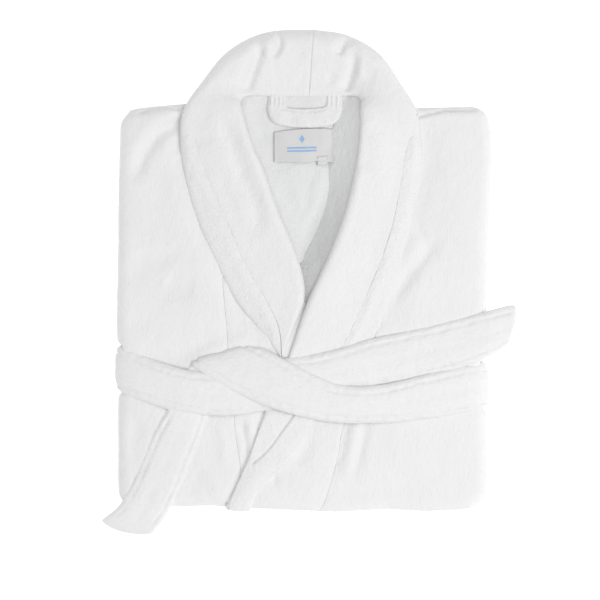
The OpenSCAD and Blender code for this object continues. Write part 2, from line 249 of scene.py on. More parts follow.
def rounding(distance, radius):
    """The share of full height, from 0 at an edge to 1 at radius from it."""
    return np.sqrt(np.clip(1 - (1 - np.clip(distance / radius, 0, 1)) ** 2, 0, 1))


def strap(edge_a, edge_b, thick_a, thick_b, step, relief, under=None, outward=1.0,
          round_ends=(0.0, 0.0), seams=(None, None), bow=0.0, soft=(1.0, 1.0)):
    """A closed strap of cloth between two edges, as (points, faces). Its outer face looks along
    outward * (way along x way from a to b). thick_a and thick_b are one number or one for each control
    point. relief(s, x, width, points) gives extra height of the outer face in mm, and under that of the
    inner face. An edge is half round, or has a small rim of the size in seams where it is sewn on.
    bow is how far the far end's middle bulges out, and soft makes an edge's round wider than it is thick."""
    n = len(edge_a)
    t = np.linspace(0, n - 1, 1200)
    a, b = spline_at(edge_a, t), spline_at(edge_b, t)
    middle = (a + b) / 2
    run = np.concatenate([[0], np.cumsum(np.linalg.norm(np.diff(middle, axis=0), axis=1))])
    length = run[-1]
    s = np.linspace(0, length, max(int(length / step), 8))
    turn = (1 - np.cos(np.linspace(0, math.pi / 2, 7)))[1:-1]
    s = np.unique(np.concatenate([s, round_ends[0] * turn, length - round_ends[1] * turn]))
    tt = np.interp(s, run, t)
    a, b = spline_at(edge_a, tt), spline_at(edge_b, tt)

    def spread(v):
        return spline_at(v, tt) if np.ndim(v) else np.full((len(tt), 1), float(v))

    ta, tb = spread(thick_a), spread(thick_b)
    along = unit(np.gradient(a + b, axis=0))
    width = np.linalg.norm(b - a, axis=1)[:, None]
    up = unit(np.cross(along, b - a))[:, None] * outward
    shrink = np.ones((len(s), 1))
    for gap, size in zip((s, length - s), round_ends):
        if size:
            shrink *= np.maximum(rounding(gap, size), 0.12)[:, None]
    sizes = [seams[0] or soft[0] * np.mean(ta) / 2, seams[1] or soft[1] * np.mean(tb) / 2]
    x = across_stops(width.mean(), sizes[0], sizes[1], step)
    half = mix(ta, tb, smooth(x)) / 2
    high, low, full = half, half, np.ones_like(half) * shrink
    gaps = (x * width, (1 - x) * width)
    for rim, thick, gap in zip(seams, (soft[0] * ta, soft[1] * tb), gaps):
        if rim:
            high = high - rim * (1 - rounding(gap, rim))
        else:
            edge = rounding(gap, thick / 2)
            high, low, full = high * edge, low * edge, full * edge
    base = a[:, None] + (b - a)[:, None] * x[None, :, None]
    if bow:
        reach = bow * smooth((s - length + 22) / 22)[:, None] * (4 * x * (1 - x))[None]
        base = base + along[:, None] * reach[..., None]
    where = (s[:, None] + 0 * x, x * width, width + 0 * x, base)
    rise = relief(*where) * full
    sink = under(*where) * full if under else 0.0
    top = base + up * (high * shrink + rise)[..., None]
    bottom = base - up * (low * shrink + sink)[..., None]
    points, faces = shell(top, bottom)
    return points, faces if outward < 0 else flip(faces)


def flip(faces):
    """The same faces, looking the other way."""
    out = faces[:, ::-1].copy()
    triangle = faces[:, 3] == faces[:, 2]
    out[triangle] = faces[triangle][:, [2, 1, 0, 0]]
    return out


def pile(p, seed, amount=1.0):
    """The unevenness of brushed plush: lumps of a few millimetres, drawn out along the robe."""
    return amount * (0.30 * noise(p, (3.2, 5.0, 3.2), seed) + 0.22 * noise(p, (9, 14, 9), seed + 1)
                     + 0.35 * noise(p, (26, 34, 26), seed + 2))


# ---- materials ----


def new_material(name):
    material = bpy.data.materials.new(name)
    material.use_nodes = True
    return material, material.node_tree.nodes["Principled BSDF"]


def fill(node, inputs):
    """Sets a node's inputs, each to a value or to another node's output."""
    for key, value in inputs.items():
        if isinstance(value, bpy.types.NodeSocket):
            node.id_data.links.new(value, node.inputs[key])
        else:
            node.inputs[key].default_value = value


def add_node(material, kind, inputs, **settings):
    node = material.node_tree.nodes.new("ShaderNode" + kind)
    for key, value in settings.items():
        setattr(node, key, value)
    fill(node, inputs)
    return node


def bumps(material, layers):
    """The normal of bumps laid over each other, each a (height, strength, distance in metres)."""
    before = {}
    for height, strength, distance in layers:
        values = {"Height": height, "Strength": strength, "Distance": distance, **before}
        before = {"Normal": add_node(material, "Bump", values).outputs["Normal"]}
    return before["Normal"]


def tone(material, shade, colour, factor):
    """A colour that varies between its darker shade and itself."""
    dark = [c * shade for c in colour]
    values = {"A": (*dark, 1), "B": (*colour, 1), "Factor": factor}
    return add_node(material, "Mix", values, data_type="RGBA").outputs["Result"]


def plush(name, colour, seed, streak, nap):
    """Short brushed pile: fine tufts and longer strokes in bump, and a little change in tone."""
    material, shader = new_material(name)
    where = add_node(material, "TexCoord", {}).outputs["Object"]
    shift = (seed * 0.37, seed * 0.21, seed * 0.11)
    place = add_node(material, "Mapping", {"Vector": where, "Location": shift, "Scale": streak})

    def texture(kind, output, **values):
        return add_node(material, kind, {"Vector": place.outputs["Vector"], **values}).outputs[output]

    tufts = texture("TexVoronoi", "Distance", Scale=560.0, Randomness=1.0)
    strokes = texture("TexNoise", "Fac", Scale=330.0, Detail=4.0, Roughness=0.65, Distortion=0.6)
    lumps = texture("TexNoise", "Fac", Scale=95.0, Detail=3.0, Roughness=0.55)
    patches = texture("TexNoise", "Fac", Scale=22.0, Detail=3.0, Roughness=0.6)
    share = add_node(material, "Math", {0: strokes, 1: 0.5, 2: patches}, operation="MULTIPLY_ADD")
    rough = add_node(material, "MapRange", {"Value": lumps, "To Min": 0.86, "To Max": 1.0})
    fill(shader, {
        "Base Color": tone(material, 0.934, colour, share.outputs[0]),
        "Normal": bumps(material, [(lumps, nap, 0.0016), (strokes, nap, 0.0011), (tufts, nap * 0.8, 0.0005)]),
        "Roughness": rough.outputs["Result"], "Specular IOR Level": 0.15,
        "Sheen Weight": 0.12, "Sheen Roughness": 0.55})
    return material


def satin(name, colour, seed):
    """Smooth woven satin: fine threads across, and a soft shine."""
    material, shader = new_material(name)
    where = add_node(material, "TexCoord", {}).outputs["Object"]
    threads = []
    for direction, scale, strength in (("X", 750.0, 0.25), ("Y", 600.0, 0.35)):
        values = {"Vector": where, "Scale": scale, "Distortion": 0.6, "Detail": 1.0}
        wave = add_node(material, "TexWave", values, bands_direction=direction)
        threads.append((wave.outputs["Fac"], strength, 0.0002))
    cloud = add_node(material, "TexNoise", {"Vector": where, "Scale": 60.0 + seed})
    fill(shader, {
        "Base Color": tone(material, 0.94, colour, cloud.outputs["Fac"]),
        "Normal": bumps(material, threads), "Roughness": 0.45, "Specular IOR Level": 0.35})
    return material


WHITE = (0.80, 0.801, 0.80)
BODY = plush("robe_plush", WHITE, 1, (1.0, 0.45, 1.0), 0.55)
# The inside is the same white plush as the outside; its darker colour here is painted shade for the deep
# recess of the neck opening.
INSIDE_PAINTED_SHADE = plush("robe_inside_painted_shade", (0.75, 0.752, 0.755), 2, (1.0, 0.6, 1.0), 0.55)
COLLAR = plush("collar_plush", WHITE, 3, (1.0, 0.7, 1.0), 0.6)
BAND = plush("collar_band_plush", WHITE, 4, (0.8, 0.8, 0.8), 0.75)
BELT = plush("belt_plush", WHITE, 5, (0.5, 1.0, 1.0), 0.6)
LOOP = plush("loop_plush", WHITE, 6, (1.0, 1.0, 1.0), 0.75)
SATIN = satin("label_satin", (0.69, 0.69, 0.695), 1)
BLUE = satin("device_satin", (0.30, 0.50, 0.76), 7)
STITCH = satin("label_thread", (0.78, 0.78, 0.785), 3)

# ---- the belt ----

UNDER_Z = BELT_T / 2 + 0.15
LEFT_X = -SIDE_LEFT + 4.0
RIGHT_X = SIDE_RIGHT - 8.0
BELT_W = 49


def lowered(points):
    """The belt's lower edge, from its upper one."""
    return [(x, y - BELT_W, z) for x, y, z in points]


# From the middle of the back, under the fold and up round its side, and then over the fronts to the tail.
LEFT_ROUND = [
    (0, -48, UNDER_Z), (-80, -44.5, UNDER_Z), (-150, -41, UNDER_Z), (-174, -40, UNDER_Z), (-184, -39.7, 5.5),
    (-190.5, -39.3, 12), (LEFT_X, -39, 26), (LEFT_X, -39, 44), (-189, -41, 56), (-179, -45, 61.5)]
RIGHT_ROUND = [
    (0, -48, UNDER_Z), (80, -52, UNDER_Z), (150, -55, UNDER_Z), (174, -56, UNDER_Z), (184, -56.3, 5.5),
    (190, -56.7, 12), (RIGHT_X, -57, 26), (RIGHT_X, -57, 44)]
LEFT_UPPER = LEFT_ROUND + [
    (-160, -53, 64.5), (-139, -60, 67.5), (-117, -65, LZ - 0.8), (-76, -66, LZ), (-44, -60, LZ),
    (-16, -52.5, LZ), (19, -47, LZ - 0.5), (50, -39, LZ - 1.5), (77, -31.5, LZ - 2.5), (103, -26, LZ - 3.5),
    (140, -17, LZ - 4.4), (168, -10, LZ - 4.6), (194, -3, LZ - 5.5), (213, 2, LZ - 8),
    (220.5, 3.6, LZ - 9.2), (224.6, 1.5, LZ - 9.8), (225.6, -5, LZ - 10)]
LEFT_LOWER = lowered(LEFT_ROUND) + [
    (-160, -101, 64.5), (-139, -107, 67.5), (-117, -111, LZ - 0.8), (-76, -113, LZ - 1),
    (-44, -109, LZ - 3.2), (-10, -102, LZ - 3), (24, -95, LZ - 1.5), (56, -89, LZ - 1.5),
    (84, -83, LZ - 2.5), (112, -77, LZ - 3.5), (146, -68, LZ - 4.4), (170, -62, LZ - 4.6),
    (193, -52, LZ - 5.5), (207, -44.5, LZ - 8), (212.5, -41.5, LZ - 9.2), (215.5, -38, LZ - 9.8),
    (217.4, -32, LZ - 10)]
RIGHT_UPPER = RIGHT_ROUND + [
    (188, -57.5, 56), (178, -59, 62), (158, -62.5, 66), (138, -67, 69), (112, -74, 72.5),
    (87, -79.5, RZ - 2), (62, -82, RZ - 0.5), (38, -79.5, RZ), (16, -71, RZ), (-3, -62, RZ),
    (-20, -53, RZ - 0.8), (-35, -45, RZ - 3), (-46, -41.5, RZ - 5.5), (-51.5, -41.5, LZ - 2),
    (-54, -45, TZ + 2), (-63, -57, TZ), (-82, -88, TZ), (-97, -112, TZ), (-112, -152, TZ - 0.5),
    (-122, -178, TZ - 1), (-135, -205, TZ - 3), (-149, -227, TZ - 9), (-158, -238, TZ - 16)]
RIGHT_LOWER = lowered(RIGHT_ROUND) + [
    (188, -107, 56), (178, -109, 62), (158, -113, 65), (136, -116, 66), (108, -119, 67.5), (80, -121, 69),
    (54, -121, 70.5), (28, -119, 72), (2, -114, RZ - 1.8), (-25, -106.5, RZ - 0.6), (-54, -96, RZ - 0.2),
    (-82, -82, RZ - 0.6), (-103, -69, RZ - 2), (-115, -61, LZ - 0.6), (-118, -60.5, TZ + 2),
    (-123, -67, TZ), (-134, -88, TZ), (-143, -108, TZ), (-156, -131, TZ - 0.5), (-172, -168, TZ - 1),
    (-189, -203, TZ - 3), (-203, -217, TZ - 9), (-211, -223, TZ - 16)]
HEM_IN = 7.5
BELT_SINK = 2.4


def belt_relief(seed, inner=False):
    """A full middle and pressed edges, on both faces where both can show."""
    def relief(s, x, width, p):
        edge = np.minimum(x, width - x)
        line = HEM_IN + 0.8 * noise(p, 18, seed + 2)
        stitch = -2.0 * bell(edge - line, 1.6) * (0.75 + 0.6 * noise(p, 5, seed))
        tuft = 0.8 * bell(edge - 3, 3) * (noise(p, 4.0, seed + 3) + 0.7 * noise(p, 9, seed + 4))
        middle = 1.1 * bell(edge - 18, 10)
        rim = 0.7 * bell(edge - 4, 2.5) + BELT_SINK * smooth(edge / 11)
        level = smooth((p[..., 2] - (50 if inner else 8)) / 8)
        lumps = pile(p, seed, 1.1) + 0.8 * noise(p, (60, 18, 60), seed + 7)
        return level * (stitch + tuft + middle + rim + lumps)
    return relief


def wavy(edge, seed):
    """The same edge with the small unevenness of a pressed seam, sunk into the cloth below it."""
    p = spline_at(edge, np.arange(0, len(edge) - 0.99, 0.5))
    p = p + 0.7 * np.stack([noise(p, 17, seed), noise(p, 17, seed + 9), 0.4 * noise(p, 21, seed + 5)], -1)
    p[:, 2] = np.maximum(p[:, 2] - BELT_SINK * smooth((p[:, 2] - 50) / 10), UNDER_Z)
    return p


def belt_half(side, upper, lower, seed, nodes, bow):
    """One half of the belt, which bends between the robe and its tail from start to end."""
    points, faces = strap(
        wavy(lower, seed), wavy(upper, seed + 50), BELT_T, BELT_T, 1.7, belt_relief(seed),
        under=belt_relief(seed + 2, True), outward=1.0 if side == "left" else -1.0, round_ends=(0, 4),
        bow=bow, soft=(1.7, 1.7))
    piece = make_mesh(f"belt_{side}_half", points, faces, BELT, "belt_plush", body=None, replaces=nodes)
    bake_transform(piece)


# ---- the body ----

ROUND = 13.0
SHELL_T = 9.0
TUCK = 14.0
X_LOW, X_HIGH = -SIDE_LEFT, SIDE_RIGHT - 4.5
Y_LOW, Y_HIGH = -LOWER_Y + 1.5, SHOULDER_Y - 1
SIDE_DROP = FRONT_TOP - SKIRT_TOP
END_DROP = FRONT_TOP - 3.0
QUARTER = ROUND * math.pi / 2
# How far the fronts reach over the fold and under it, measured along the cloth.
B_LOW = Y_LOW + ROUND - 2 * QUARTER - (END_DROP - 2 * ROUND) - TUCK
B_HIGH = Y_HIGH - ROUND + 2 * QUARTER + TUCK
LEFT_LIMIT = X_LOW + ROUND - 2 * QUARTER - TUCK
RIGHT_LIMIT = X_HIGH - ROUND + 2 * QUARTER + TUCK
V_Y = 12.0


def outline_shift(point):
    """The fold's outline isn't a true rectangle: small bulges and waves along its sides."""
    x, y = point[..., 0], point[..., 1]
    right = np.interp(y, [-215, -195, -110, -60, 0, 60, 110, 160, 190, 215],
                      [-4, 0, 0, -2, 0, 1, 3, 5.5, 3.5, 0])
    left = np.interp(y, [-215, -180, -110, -70, -20, 20, 120, 180, 215],
                     [1.5, 0.5, 0, 1.5, -1, -0.5, 1, 2.5, 3])
    top = np.interp(x, [-195, -172, -118, -90, 100, 120, 150, 195], [-1.5, -0.5, 5, 5, 1, 0, 0.5, 1])
    low = np.interp(x, [-195, -150, -90, -60, 0, 40, 90, 130, 170, 195],
                    [3, 2, 3, 1, -2, -3.5, -0.5, -2.5, -1, 1])
    shifted = point.copy()
    shifted[..., 0] += right * smooth((x - 120) / 60) + left * smooth((-x - 120) / 60)
    shifted[..., 1] += top * smooth((y - 140) / 60) + low * smooth((-y - 140) / 60)
    return shifted


def wrap(a, b):
    """Lays flat points (a, b) over the folded body. Gives each one's place, and the way out of the cloth."""
    core_x = np.clip(a, X_LOW + ROUND, X_HIGH - ROUND)
    core_y = np.clip(b, Y_LOW + ROUND, Y_HIGH - ROUND)
    corner = np.where(b > 0, np.where(a < 0, 9.0, 4.0), np.where(a < 0, 3.0, 6.0))
    kx = np.clip(a, X_LOW + ROUND + corner, X_HIGH - ROUND - corner)
    ky = np.clip(b, Y_LOW + ROUND + corner, Y_HIGH - ROUND - corner)
    vx, vy = a - kx, b - ky
    d0 = np.hypot(vx, vy)
    both = (vx != 0) & (vy != 0)
    inside = d0 <= corner
    cx = np.where(both, np.where(inside, a, kx + vx / np.maximum(d0, 1e-9) * corner), core_x)
    cy = np.where(both, np.where(inside, b, ky + vy / np.maximum(d0, 1e-9) * corner), core_y)
    d = np.hypot(a - cx, b - cy)
    nx, ny = (a - cx) / np.maximum(d, 1e-9), (b - cy) / np.maximum(d, 1e-9)
    drop = mix(SIDE_DROP, END_DROP, smooth((-ny - 0.15) / 0.6))
    straight = drop - 2 * ROUND
    f1 = np.clip(d / QUARTER, 0, 1) * math.pi / 2
    f2 = np.clip((d - QUARTER) / np.maximum(straight, 1e-6), 0, 1) * straight
    f3 = np.clip((d - QUARTER - straight) / QUARTER, 0, 1) * math.pi / 2
    f4 = np.maximum(d - 2 * QUARTER - straight, 0)
    out = ROUND * np.sin(f1) - ROUND * (1 - np.cos(f3)) - f4
    down = ROUND * (1 - np.cos(f1)) + f2 + ROUND * np.sin(f3)
    point = np.stack([cx + nx * out, cy + ny * out, FRONT_TOP - down], -1)
    level = np.sin(f1) * np.cos(f3)
    normal = unit(np.stack([nx * level, ny * level, np.cos(f1) - np.sin(f3)], -1))
    return outline_shift(point), normal


LEFT_ROLL = [(-20, -51), (-8, -20), (3, 13), (-4, 52), (-26, 105), (-39, 142), (-53, 174), (-63, 208)]
RIGHT_ROLL = [(-15, -53), (-9, -36), (6, 8), (30, 61), (46, 105), (57, 153), (61, 190), (61, 208)]
LEFT_EDGE = [(-24, -51), (-49, -18), (-70, 8), (-91, 48), (-109, 89), (-122, 134), (-128, 174), (-126, 204)]
RIGHT_EDGE = [(70, -53), (79, -31), (98, 19), (108, 50), (116, 87), (123, 124), (127, 160), (122, 202)]
LEFT_SEAM = [(-88, 300), (-86, 200), (-84, 45), (-79, -20), (-76, -70), (-71.5, -113), (-68.5, -141),
             (-65, -166), (-67, -190), (-78, -214), (-100, -290)]
RIGHT_SEAM = [(92, 300), (90, 200), (84, 60), (75, -40), (44, -123), (38, -154), (24, -200), (8, -240),
              (0, -290)]
FRONT_EDGE = [(5, 60), (4, 10), (-16, -52), (-38, -107), (-54.5, -153), (-71.5, -193), (-77.5, -207),
              (-80, -216), (-84, -290)]
BAND_INNER = [(14, -114), (7, -128), (-7, -147), (-22, -165), (-36, -180), (-47, -194), (-54, -210),
              (-58, -230), (-60, -290)]


# Creases and ridges of the fronts: path, width, height, and how much of each end fades out.
FRONT_STROKES = [
    # left shoulder and chest
    ([(-112, 200), (-131, 193), (-150, 182), (-166, 160), (-176, 128)], 8, -5.0, 0.2),
    ([(-122, 207), (-146, 201), (-168, 182), (-181, 150)], 9, 2.2),
    ([(-119, 186), (-126, 176), (-130, 160)], 9, -2.6),
    ([(-132, 168), (-148, 138), (-156, 98), (-154, 62)], 20, -2.8),
    ([(-190, 20), (-172, 44), (-150, 52), (-136, 44)], 13, -2.4),
    ([(-144, 30), (-130, 22), (-112, 18)], 12, -2.0, 0.35),
    ([(-190, 92), (-182, 60), (-180, 30)], 12, 2.0),
    ([(-178, -45), (-140, -50), (-112, -44), (-88, -32)], 9, -2.2),
    ([(-76, 26), (-66, 6), (-52, -14), (-38, -34)], 7, -1.6),
    ([(-120, -54), (-84, -40), (-48, -33)], 9, 2.4),
    # right chest
    ([(92, 0), (104, 22), (118, 42), (134, 62), (146, 74)], 7.5, -3.2),
    ([(104, 42), (114, 58), (119, 80)], 9, 1.8, 0.4),
    ([(118, 92), (127, 74), (132, 62)], 4.0, -1.6, 0.4),
    ([(127, 196), (136, 168), (134, 130)], 15, -2.0, 0.35),
    # below the belt
    ([(58, -112), (53, -145), (44, -186)], 5.5, 2.2, 0.35),
    ([(68, -112), (63, -140), (54, -180)], 4.5, -2.2, 0.35),
    ([(48, -112), (44, -140), (35, -180)], 3.5, -1.2, 0.35),
    ([(12, -130), (2, -150), (-12, -168)], 8, -2.0, 0.35),
    ([(-66, -116), (-60, -138), (-58, -164)], 4, -2.2),
    ([(-56, -116), (-52, -136), (-56, -160)], 4.5, 1.8),
    ([(-88, -118), (-82, -142), (-80, -170)], 6, 1.6),
    ([(-170, -112), (-176, -140), (-180, -170)], 9, -2.4, 0.35),
    ([(-104, -170), (-92, -186), (-88, -200)], 12, 1.8, 0.35),
]
# Swellings and dents of the fronts: middle, radii, height, turn.
FRONT_MOUNDS = [
    (-166, 110, 16, 40, 1.6, 12), (-112, -6, 40, 18, 3.0, -14), (-168, -12, 22, 14, -1.8, 10),
    (-98, 120, 14, 60, -1.2, 22), (165, 90, 22, 60, 1.6, 6), (152, -20, 34, 16, 1.4, 12),
    (118, 8, 18, 26, 1.0, -30), (-29, -180, 4.5, 6, -3.0, 20), (8, -186, 22, 16, 1.8, 20),
    (118, -160, 60, 30, 1.6, 6), (60, -196, 40, 9, -1.2, 0), (-165, -150, 24, 40, 1.6, -10),
    (-30, -200, 20, 10, 1.2, 0), (150, 196, 40, 9, -1.0, 0),
]


def folds(x, y):
    """Height of the folds and dents in the fronts, above or below the smooth lay of the cloth."""
    h = 0.9 * noise(np.stack([x, y, 0 * x], -1), 48, 77)
    h = add_strokes(h, x, y, FRONT_STROKES)
    for values in FRONT_MOUNDS:
        h = h + mound(x, y, *values)
    # The fronts sink a little beside the lapels' free edges.
    for edge, depth, width in ((LEFT_EDGE, 2.6, 11), (RIGHT_EDGE, 1.2, 9)):
        h = h - depth * bell(path_distance(x, y, edge, 50)[0] - 1, width) * smooth((y + 40) / 30)
    gap = at_y(FRONT_EDGE, y) - x
    h = h - 1.8 * bell(gap - 2, 5.5) * (gap > 0) * smooth((-60 - y) / 30)
    # The fold behind shows as a narrow strip along the shoulders.
    left = y - np.interp(x, [-175, -150, -118], [204, 210, 211])
    right = y - np.interp(x, [112, 128, 150, 185], [197, 203.5, 208, 209.5])
    h = h - 2.6 * bell(left, 2.2) * smooth((-112 - x) / 8) * smooth((x + 178) / 10)
    return h - 3.2 * bell(right, 2.0) * smooth((x - 108) / 6) * smooth((190 - x) / 12)


def crown(x, y):
    """The soft fullness of the whole fold."""
    return 3.2 * (1 - np.abs(x / 196) ** 3.5).clip(0) * (1 - np.abs(y / 214) ** 4).clip(0)


def belt_press(x, y):
    """How far the belt presses the top of the fronts in, beside and under it."""
    upper = np.interp(x, [-200, -160, -117, -44, 19, 103, 140, 168, 200],
                      [-41, -53, -65, -60, -47, -26, -17, -10, -4])
    lower = np.interp(x, [-200, -139, -91, -25, 54, 136, 200], [-88, -107, -113, -107, -121, -116, -106])
    return (3.4 - 2.4 * smooth((x - 90) / 30)) * smooth((upper + 5 - y) / 12) * smooth((y - lower + 5) / 12)


def side_press(point):
    """How far the belt presses the sides of the fold in."""
    x, y = point[..., 0], point[..., 1]
    top = np.where(x < 0, -38.5, -56.0)
    low = np.where(x < 0, -89.0, -107.0)
    return 4.5 * smooth((top + 5 - y) / 8) * smooth((y - low + 5) / 8)


def body_panel(node, inner, outer, seed, columns, rows=260, depth=SHELL_T, material=BODY, extra=None,
               lift=0.0, b_high=B_HIGH, b_low=B_LOW, rim=0.8):
    """One piece of the fronts, from the line inner to the line outer across the fold."""
    b = np.linspace(b_low, b_high, rows)[:, None]
    start, stop = inner(b), outer(b)
    width = np.abs(stop - start)
    x = across_stops(width.mean(), rim, rim, width.mean() / columns)
    a = start + (stop - start) * x
    b = b + 0 * a
    near = np.minimum(x * width, (1 - x) * width)
    point, normal = wrap(a, b)
    soft = rim * (1 - rounding(near, rim))
    flat = smooth((normal[..., 2] - 0.15) / 0.6)
    px, py = point[..., 0], point[..., 1]
    height = lift + (folds(px, py) + crown(px, py) - belt_press(px, py)) * flat + pile(point, seed)
    height = height - 0.7 * bell(near, 4.0) * (1 + 0.8 * noise(point, 7, seed + 8)) * flat
    if extra is not None:
        height = height + extra(a, b) * flat
    press = side_press(point) * (1 - smooth((normal[..., 2] - 0.5) / 0.4)) * (np.abs(normal[..., 1]) < 0.8)
    outer_face = point + normal * (height - soft - press)[..., None]
    inner_face = point - normal * (depth - height + press)[..., None]
    points, faces = shell(outer_face, inner_face)
    if start.mean() > stop.mean():
        faces = flip(faces)
    piece = make_mesh(f"{node}_cloth", points, faces, material, "robe_plush", replaces=(node,))


def on_line(points):
    return lambda b: at_y(points, b)


def left_inner(b):
    neck = at_y(LEFT_ROLL, b) - 5
    edge = at_y(FRONT_EDGE, b) + 34
    return np.where(b > V_Y, np.minimum(neck, 0), mix(edge, np.minimum(neck, 0), smooth((b - V_Y + 24) / 24)))


def right_inner(b):
    neck = at_y(RIGHT_ROLL, b) + 6
    edge = at_y(FRONT_EDGE, b)
    return np.where(b > V_Y, neck, mix(edge, neck, smooth((b - V_Y + 20) / 20)))


def under_right(a, b):
    """The left front drops where the right front lies over it."""
    edge = at_y(FRONT_EDGE, b)
    return -(SHELL_T + 0.5) * smooth((a - edge - 1) / 9) * smooth((V_Y - b) / 30 + 0.3)


body_panel("front_left_side", on_line(LEFT_SEAM), lambda b: LEFT_LIMIT + 0 * b, 31, 72)
body_panel("front_left_centre", on_line(LEFT_SEAM), left_inner, 31, 52, extra=under_right)
body_panel("front_right_centre", right_inner, on_line(RIGHT_SEAM), 41, 52)
body_panel("front_right_side", on_line(RIGHT_SEAM), lambda b: RIGHT_LIMIT + 0 * b, 41, 72)


def band_relief(a, b):
    """The mitred seam across the band, its pillow of cloth, and its tip past the lower fold."""
    seam = stroke(a, b, [(-6, -108), (-20, -127), (-32, -144), (-42, -155), (-52, -163)], 1.1, -1.7, 0.04)
    middle = 0.5 * (at_y(FRONT_EDGE, b) + at_y(BAND_INNER, b))
    pillow = 1.5 * bell(a - middle, 9) * smooth((-b - 150) / 30)
    mitre = np.interp(b, [-163, -144, -127, -108], [-52, -32, -20, -6])
    step = 1.3 * smooth((a - mitre) / 3) * smooth((b + 175) / 12)
    tip = 3.5 * smooth((-b - 203) / 12)
    return seam + pillow + step + tip


body_panel("front_band_right", on_line(FRONT_EDGE), on_line(BAND_INNER), 47, 40, rows=130, depth=4.5,
           material=BAND, extra=band_relief, lift=3.2, b_high=-92.0, b_low=-262.0, rim=2.2)

belt_half("left", LEFT_UPPER, LEFT_LOWER, 11, ("belt_left_strand", "belt_upper_tail"),
          1.5)
belt_half("right", RIGHT_UPPER, RIGHT_LOWER, 23,
          ("belt_right_strand", "belt_turn", "belt_lower_tail", "belt_back_run"),
          9)

# ---- what shows in the neck ----

BACK_LOW, BACK_HIGH = node_box("back_panel")


def hollow(x, y):
    """The hollow where the lapels close over the layers below, from 0 to 1."""
    gap, along = path_distance(x, y, [(31, 130), (28, 106), (18, 78), (9, 57), (9, 36), (3, 14)], 60)
    return smooth(along * 2.2) * bell(gap, mix(8.0, 15.0, smooth(along * 1.8)))


# The line that the soft lobe below the label ends at, from the neck down.
LOBE = [(30, 215), (27, 190), (25, 160), (24.5, 128), (17, 101), (2, 80), (-12, 66), (-24, 40), (-30, 0)]


def back_relief(x, y):
    """Height of the back's inside: a soft lobe below the label, falling away to the right and downwards."""
    gap = path_distance(x, y, LOBE, 60)[0]
    right = x > np.interp(y, [0, 40, 66, 80, 101, 128, 160, 215], [-30, -24, -12, 2, 17, 24.5, 25, 30])
    side = np.where(right, gap, -gap)
    h = 2.4 - 3.0 * smooth((side + 7) / 15) - 6.5 * hollow(x, y)
    # The cloth rises into the left lapel's roll, towards the nape, and between the hanger loop's ends.
    h = h + 6.0 * bell(path_distance(x, y, LEFT_ROLL[3:], 50)[0], 8)
    h = h + 2.2 * smooth((y - 206) / 14) + mound(x, y, 4, 217, 19, 7, 2.2)
    h = h + mound(x, y, -6, 130, 20, 26, 2.2) + mound(x, y, 2, 168, 34, 16, 0.8)
    h = add_strokes(h, x, y, [([(-30, 150), (-22, 120), (-14, 96)], 5, 1.0),
                              ([(8, 142), (6, 118), (2, 96)], 5, -1.0)])
    return h + noise(np.stack([x, y, 0 * x], -1), 22, 91)


def back_panel():
    """The back's inside: a fine grid where it shows in the neck, and a coarse one where it is covered."""
    fine, coarse = 2.1, 6.0
    half, low_y = 72, -10
    x = np.concatenate([np.arange(BACK_LOW[0], -half - 1, coarse), np.arange(-half, half, fine),
                        np.arange(half, BACK_HIGH[0], coarse)])
    y = np.concatenate([np.arange(BACK_LOW[1], low_y - 1, coarse), np.arange(low_y, BACK_HIGH[1], fine)])
    x, y = np.meshgrid(x, y)
    inner = np.clip(x, -66, 66)
    x = np.where(y > SHOULDER_Y - 10, inner + 0.02 * (x - inner), x)
    y = y + 12 * smooth((y - 200) / 20)
    low = np.stack([x, y, BACK_TOP - 6 - 7.0 * hollow(x, y)], -1)
    height = BACK_TOP + back_relief(x, y) + pile(np.stack([x, y, 0 * x], -1), 93, 1.1)
    top = np.stack([x, y, np.maximum(height, low[..., 2] + 1.5)], -1)
    # The back's inside takes the darker cloth whose colour is painted shade for the recess.
    piece = make_mesh("back_panel_cloth", *shell(top, low), INSIDE_PAINTED_SHADE, "robe_plush", replaces=("back_panel",))


back_panel()


def facing_relief(s, x, width, p):
    """The cloth lifts slowly away from the back and then turns up into the roll."""
    share = np.clip(x / width, 0, 1)
    return pile(p, 97) + 0.8 * noise(p, (16, 30, 16), 98) + 3 * (share ** 1.8 - share)


FACING_INNER = [(38, 230, 46), (35, 205, 47.5), (31, 178, 47), (28, 150, 46.5), (26, 124, 45), (20, 92, 41),
                (8, 64, 41.5), (-5, 40, 49), (-16, 12, 54), (-24, -12, 57)]
FACING_OUTER = [(64, 230, 50), (67, 205, 64.5), (66, 178, 69), (62, 150, 69.5), (55, 118, 69.5), (44, 84, 69),
                (33, 58, 67.5), (23, 34, 65.5), (14, 12, 63), (4, -12, 60)]
points, faces = strap(FACING_INNER, FACING_OUTER, 5, 6, 1.6, facing_relief)
# The facing takes the same darker cloth, painted shade for the recess beside the roll.
facing = make_mesh("front_right_facing", points, faces, INSIDE_PAINTED_SHADE, "robe_plush")

# ---- the collar ----

NECK_Y = 222.0
SEAM_LOW, SEAM_HIGH = 7.0, 12.0
LEFT_INNER = LEFT_ROLL + [(-63, 219), (-54, NECK_Y + 1), (-28, NECK_Y), (SEAM_LOW, NECK_Y)]
LEFT_OUTER = LEFT_EDGE + [(-106, 236), (-78, 270), (-38, 290), (SEAM_HIGH, CROWN_Y)]
LEFT_BAND = [(-20.6, -51), (-24, -19.8), (-38, 10.2), (-60.5, 49.4), (-79, 95), (-99, 136.3), (-113, 174),
             (-125, 204)]
RIGHT_INNER = RIGHT_ROLL + [(61, 219), (53, NECK_Y + 1), (34, NECK_Y), (SEAM_LOW, NECK_Y)]
RIGHT_OUTER = RIGHT_EDGE + [(106, 232), (82, 267), (48, 287), (SEAM_HIGH, CROWN_Y)]
RIGHT_BAND = [(36, -53), (46, -33), (68, 15.4), (83, 52.2), (95.5, 92), (103, 132.8), (109, 166), (121, 202)]
